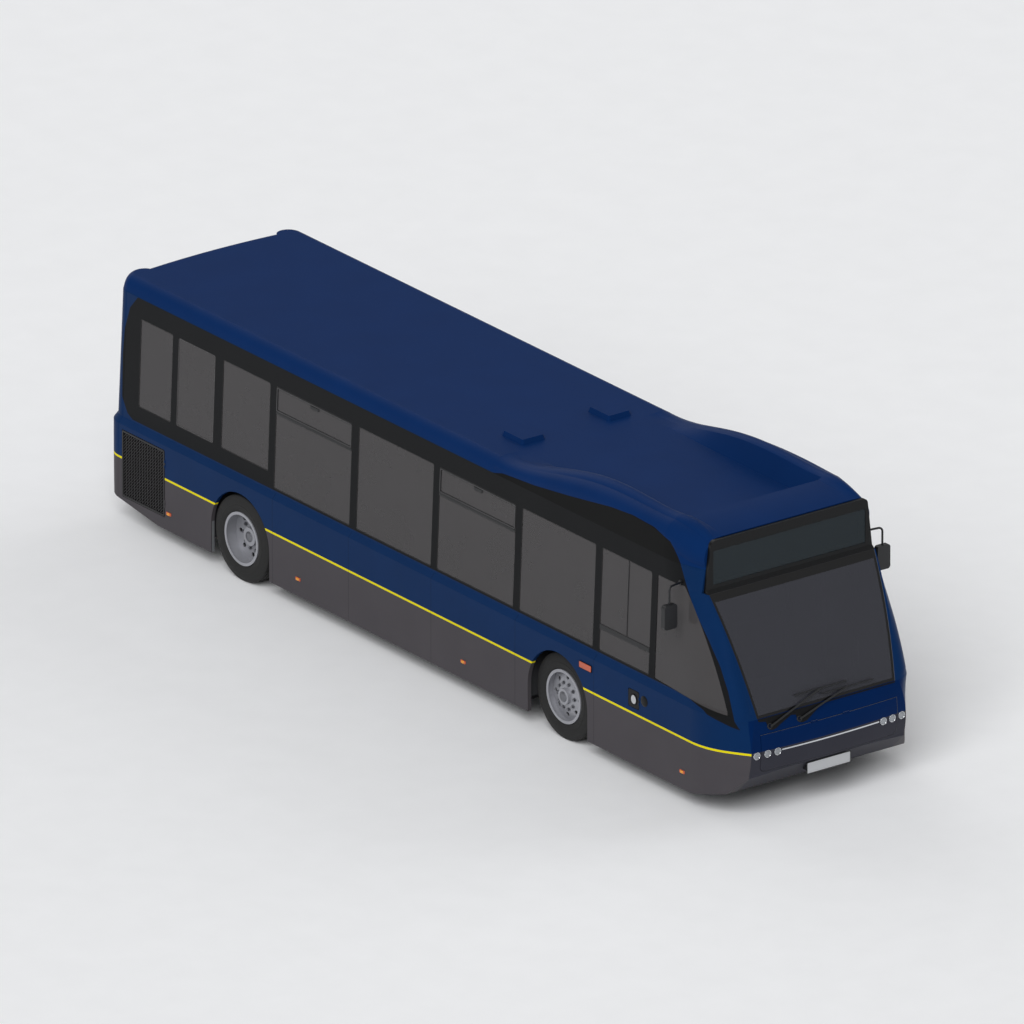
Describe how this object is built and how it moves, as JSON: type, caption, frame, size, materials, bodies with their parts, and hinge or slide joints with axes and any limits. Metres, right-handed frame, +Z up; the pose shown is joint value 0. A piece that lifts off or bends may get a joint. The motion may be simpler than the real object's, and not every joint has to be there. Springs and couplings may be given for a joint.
{
  "type": "city bus",
  "caption": "Single-deck low-floor city bus with a raked windscreen, raised front roof, one double-leaf entrance door and twin rear wheels.",
  "frame": {"origin": "on the ground under the middle of the whole bus", "axes": "+X forward, +Y to the bus's left, +Z up"},
  "size_m": [10.6977, 2.85, 2.9129],
  "materials": {
    "body_blue": "gloss",
    "front_blue": "gloss",
    "skirt_grey": "gloss",
    "roof_blue": "gloss",
    "window_glass": "gloss",
    "screen_glass": "gloss",
    "black_trim": "gloss",
    "display_glass": "gloss",
    "lamp_clear": "gloss",
    "lamp_red": "gloss",
    "grille_black": "satin",
    "radiator_core": "satin",
    "box_grey": "satin",
    "floor_vinyl": "matte",
    "chassis_black": "satin",
    "engine_iron": "matte",
    "axle_iron": "matte",
    "bellows_rubber": "matte",
    "tyre_rubber": "matte",
    "rim_steel": "satin",
    "dash_plastic": "matte",
    "wheel_plastic": "satin",
    "seat_fabric": "matte",
    "partition_panel": "satin",
    "pole_paint": "gloss",
    "mirror_black": "satin"
  },
  "bodies": {
    "body": {"left_wall": "body_blue", "right_wall": "body_blue", "side_glass": "window_glass", "cab_right_side": "body_blue", "cab_left_side": "body_blue", "windscreen": "screen_glass", "front_panel": "front_blue", "headlamps_outer": "lamp_clear", "tail_end": "body_blue", "rear_glass": "window_glass", "tail_lamps": "lamp_red", "roof": "roof_blue", "front_roof": "roof_blue", "roof_hatches": "roof_blue", "door_gear": "dash_plastic", "destination_box": "black_trim", "destination_glass": "display_glass", "radiator": "radiator_core", "radiator_box": "box_grey", "floor": "floor_vinyl", "wheel_boxes": "box_grey", "chassis": "chassis_black", "engine": "engine_iron", "tanks": "box_grey", "suspension": "bellows_rubber", "front_axle": "axle_iron", "rear_axle": "axle_iron", "dashboard": "dash_plastic", "driver_seat": "seat_fabric", "cab_partition": "partition_panel", "passenger_seats": "seat_fabric", "grab_poles": "pole_paint", "mirrors": "mirror_black"},
    "filler_flap": {"filler_flap": "black_trim"},
    "front_flap": {"front_flap": "front_blue", "headlamps_inner": "lamp_clear"},
    "engine_lid": {"engine_lid": "body_blue"},
    "radiator_door": {"radiator_door": "grille_black"},
    "door_rear": {"door_rear_leaf": "black_trim", "door_rear_glass": "window_glass"},
    "door_front": {"door_front_leaf": "black_trim", "door_front_glass": "window_glass"},
    "knuckle_left": {"knuckle_left": "axle_iron"},
    "knuckle_right": {"knuckle_right": "axle_iron"},
    "front_wheel_left": {"front_tyre_left": "tyre_rubber", "front_wheel_left": "rim_steel"},
    "front_wheel_right": {"front_tyre_right": "tyre_rubber", "front_wheel_right": "rim_steel"},
    "rear_wheel_left": {"rear_tyres_left": "tyre_rubber", "rear_wheels_left": "rim_steel"},
    "rear_wheel_right": {"rear_tyres_right": "tyre_rubber", "rear_wheels_right": "rim_steel"},
    "steering_wheel": {"steering_wheel": "wheel_plastic"},
    "cab_door": {"cab_door": "partition_panel"},
    "wiper_right": {"wiper_right": "mirror_black"},
    "wiper_left": {"wiper_left": "mirror_black"}
  },
  "joints": [
    {"name": "steer_left", "type": "hinge", "parent": "body", "child": "knuckle_left", "pos_m": [2.43, 0.9965, 0.465], "axis": [0, 0, 1], "range_deg": [-40, 40]},
    {"name": "steer_right", "type": "hinge", "parent": "body", "child": "knuckle_right", "pos_m": [2.43, -0.9965, 0.465], "axis": [0, 0, 1], "range_deg": [-40, 40]},
    {"name": "steering_wheel_turn", "type": "hinge", "parent": "body", "child": "steering_wheel", "pos_m": [4.395, -0.64, 1.12], "axis": [-0.3746, 0, 0.9272], "range_deg": [-900, 900]},
    {"name": "front_left_spin", "type": "hinge", "parent": "knuckle_left", "child": "front_wheel_left", "pos_m": [2.43, 1.0565, 0.465], "axis": [0, 1, 0], "continuous": true},
    {"name": "front_right_spin", "type": "hinge", "parent": "knuckle_right", "child": "front_wheel_right", "pos_m": [2.43, -1.0565, 0.465], "axis": [0, 1, 0], "continuous": true},
    {"name": "rear_left_spin", "type": "hinge", "parent": "body", "child": "rear_wheel_left", "pos_m": [-2.96, 0.9715, 0.465], "axis": [0, 1, 0], "continuous": true},
    {"name": "rear_right_spin", "type": "hinge", "parent": "body", "child": "rear_wheel_right", "pos_m": [-2.96, -0.9715, 0.465], "axis": [0, 1, 0], "continuous": true},
    {"name": "door_rear_swing", "type": "hinge", "parent": "body", "child": "door_rear", "pos_m": [3.119, 1.12734, 1.35], "axis": [0, -0.0412, 0.9992], "range_deg": [-88, 0]},
    {"name": "door_front_swing", "type": "hinge", "parent": "body", "child": "door_front", "pos_m": [4.191, 1.12734, 1.35], "axis": [0, -0.0412, 0.9992], "range_deg": [0, 88]},
    {"name": "engine_lid_lift", "type": "hinge", "parent": "body", "child": "engine_lid", "pos_m": [-5.3396, 0, 1.04], "axis": [0, 1, 0], "range_deg": [0, 80]},
    {"name": "front_flap_lift", "type": "hinge", "parent": "body", "child": "front_flap", "pos_m": [5.3215, 0, 0.902], "axis": [0, -1, 0], "range_deg": [0, 85]},
    {"name": "radiator_door_swing", "type": "hinge", "parent": "body", "child": "radiator_door", "pos_m": [-4.254, -1.25, 0.66], "axis": [0, 0, 1], "range_deg": [0, 100]},
    {"name": "filler_flap_swing", "type": "hinge", "parent": "body", "child": "filler_flap", "pos_m": [3.797, -1.25, 0.873], "axis": [0, 0, 1], "range_deg": [0, 110]},
    {"name": "wiper_right_sweep", "type": "hinge", "parent": "body", "child": "wiper_right", "pos_m": [5.285, -0.734, 0.969], "axis": [0.9455, 0, 0.3256], "range_deg": [0, 75]},
    {"name": "wiper_left_sweep", "type": "hinge", "parent": "body", "child": "wiper_left", "pos_m": [5.299, -0.37, 0.965], "axis": [0.9455, 0, 0.3256], "range_deg": [0, 75]},
    {"name": "cab_door_swing", "type": "hinge", "parent": "body", "child": "cab_door", "pos_m": [3.366, -0.24, 0.83], "axis": [0, 0, 1], "range_deg": [0, 90]}
  ],
  "couplings": [
    {"joint": "steer_right", "follows": "steer_left", "ratio": 1},
    {"joint": "steering_wheel_turn", "follows": "steer_left", "ratio": 22.5},
    {"joint": "door_front_swing", "follows": "door_rear_swing", "ratio": -1},
    {"joint": "wiper_left_sweep", "follows": "wiper_right_sweep", "ratio": 1}
  ]
}
